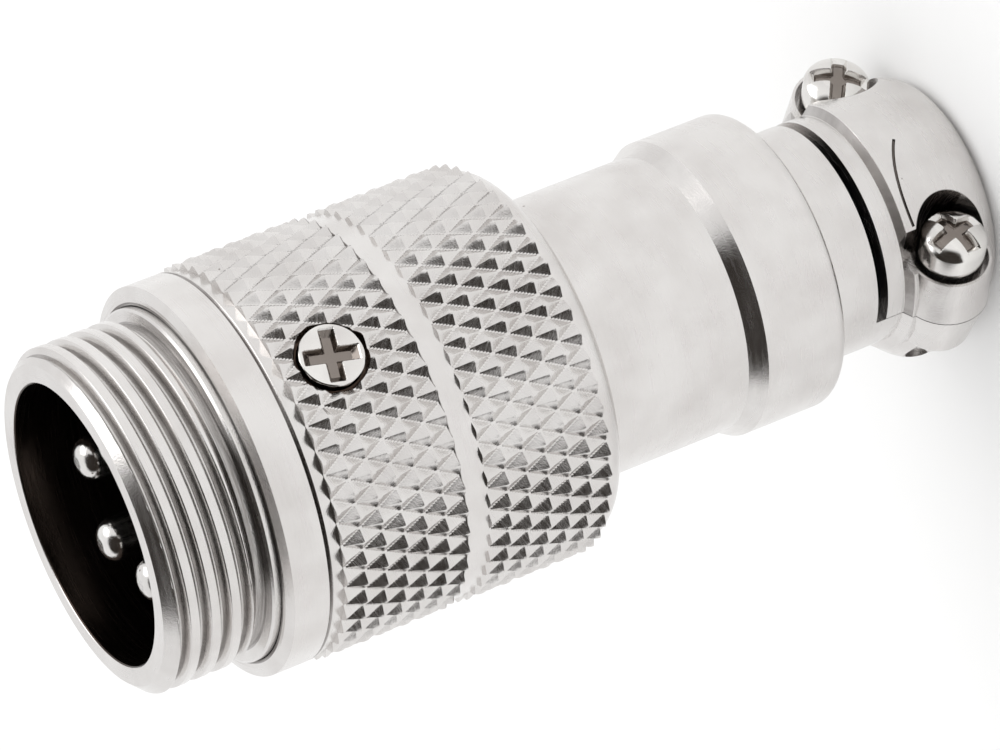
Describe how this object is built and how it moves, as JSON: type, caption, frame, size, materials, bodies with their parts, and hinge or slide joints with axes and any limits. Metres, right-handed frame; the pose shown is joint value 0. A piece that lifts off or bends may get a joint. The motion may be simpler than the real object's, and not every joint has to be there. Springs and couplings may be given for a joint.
{
  "type": "aviation plug connector",
  "caption": "Circular multi-contact aviation plug, male in-line half with threaded nose, knurled body and screwed cable clamp.",
  "frame": {"origin": "centre of the bounding box's base, on the connector's axis at the rear end of the cable clamp", "axes": "+Z along the connector's axis towards the mating end, +X from the clamp's jaw to its saddle"},
  "size_m": [0.0186, 0.0186, 0.0441],
  "materials": {
    "shell": "satin",
    "screw": "gloss",
    "contact": "gloss",
    "spring": "satin",
    "insulator": "satin"
  },
  "bodies": {
    "connector": {"front_shell": "shell", "insulator": "insulator", "retaining_ring": "spring", "tail_shell": "shell", "set_screw": "screw", "contact_pin_1": "contact", "contact_pin_2": "contact", "contact_pin_3": "contact", "contact_pin_4": "contact", "contact_pin_5": "contact"},
    "saddle": {"clamp_saddle": "shell"},
    "screw_1": {"clamp_screw_1": "screw"},
    "screw_2": {"clamp_screw_2": "screw"}
  },
  "joints": [
    {"name": "saddle_slide", "type": "slide", "parent": "connector", "child": "saddle", "axis": [1, 0, 0], "range_m": [0, 0.0012]},
    {"name": "clamp_screw_1_turn", "type": "hinge", "parent": "saddle", "child": "screw_1", "pos_m": [0, 0.00503, 0.00274], "axis": [1, 0, 0], "range_deg": [0, 1080]},
    {"name": "clamp_screw_2_turn", "type": "hinge", "parent": "saddle", "child": "screw_2", "pos_m": [0, -0.00503, 0.00274], "axis": [1, 0, 0], "range_deg": [0, 1080]}
  ],
  "couplings": [
    {"joint": "clamp_screw_1_turn", "follows": "saddle_slide", "rad_per_m": 15708},
    {"joint": "clamp_screw_2_turn", "follows": "saddle_slide", "rad_per_m": 15708}
  ]
}
